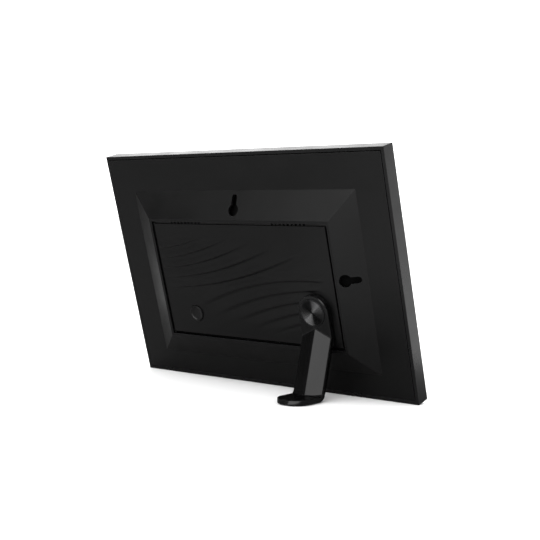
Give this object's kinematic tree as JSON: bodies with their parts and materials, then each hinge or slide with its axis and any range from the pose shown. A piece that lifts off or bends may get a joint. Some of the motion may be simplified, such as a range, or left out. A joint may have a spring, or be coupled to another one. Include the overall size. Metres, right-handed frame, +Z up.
{
  "type": "digital photo frame",
  "caption": "Flat display frame in a black moulded bezel, raised rear cover with hanging keyholes and a rippled panel, and a turning foot stand.",
  "frame": {"origin": "on the surface it stands on, under the middle of the whole frame with its stand", "axes": "+Z up, -Y the way the display faces (leaning back 16 degrees), +X to the right of somebody who looks at the display"},
  "size_m": [0.262, 0.0746, 0.1776],
  "materials": {
    "bezel_plastic": "satin black moulded side wall",
    "cover_plastic": "fine satin texture",
    "insert_plastic": "fine satin, moulded ripples",
    "button_plastic": "satin, dished top",
    "dark_plastic": "plain moulded",
    "cover_glass": "polished, black printed border",
    "display": "dark, switched off",
    "light_guide": "frosted white",
    "steel": "rolled sheet",
    "screw_steel": "plated",
    "circuit_board": "green solder mask",
    "copper": "etched film",
    "flat_cable": "amber film",
    "stand_paint": "satin dark grey",
    "spun_metal": "dark, spun rings",
    "rubber": "soft matt"
  },
  "bodies": {
    "casing": {"front_bezel": "bezel_plastic", "cover_glass": "cover_glass", "lcd_cell": "display", "light_guide": "light_guide", "backlight_tray": "steel", "rear_cover": "cover_plastic", "insert_panel": "insert_plastic", "keyhole_cup_top": "dark_plastic", "keyhole_cup_side": "dark_plastic", "chassis_plate": "steel", "chassis_screw_1": "screw_steel", "chassis_screw_2": "screw_steel", "chassis_screw_3": "screw_steel", "chassis_screw_4": "screw_steel", "cover_screw_1": "screw_steel", "cover_screw_2": "screw_steel", "cover_screw_3": "screw_steel", "cover_screw_4": "screw_steel", "board_screw_1": "screw_steel", "board_screw_2": "screw_steel", "board_screw_3": "screw_steel", "board_screw_4": "screw_steel", "main_board": "circuit_board", "shield_can": "steel", "tact_switch": "dark_plastic", "port_board": "circuit_board", "usb_c_socket": "steel", "card_socket": "steel", "speaker_left": "dark_plastic", "speaker_right": "dark_plastic", "wifi_antenna": "copper", "display_cable": "flat_cable", "wave_washer": "steel"},
    "stand": {"stand_leg": "stand_paint", "stand_disc": "spun_metal", "stand_pad": "rubber", "pivot_screw": "screw_steel", "retainer_plate": "steel", "pivot_nut": "screw_steel"},
    "button": {"power_button": "button_plastic", "switch_plunger": "dark_plastic"}
  },
  "joints": [
    {"name": "stand_turn", "type": "hinge", "parent": "casing", "child": "stand", "pos_m": [-0.063, 0.00588, 0.06151], "axis": [0, 0.9613, -0.2756], "range_deg": [0, 90]},
    {"name": "button_press", "type": "slide", "parent": "casing", "child": "button", "axis": [0, -0.9613, 0.2756], "range_m": [0, 0.0006], "stiffness_N_per_m": 2000}
  ]
}
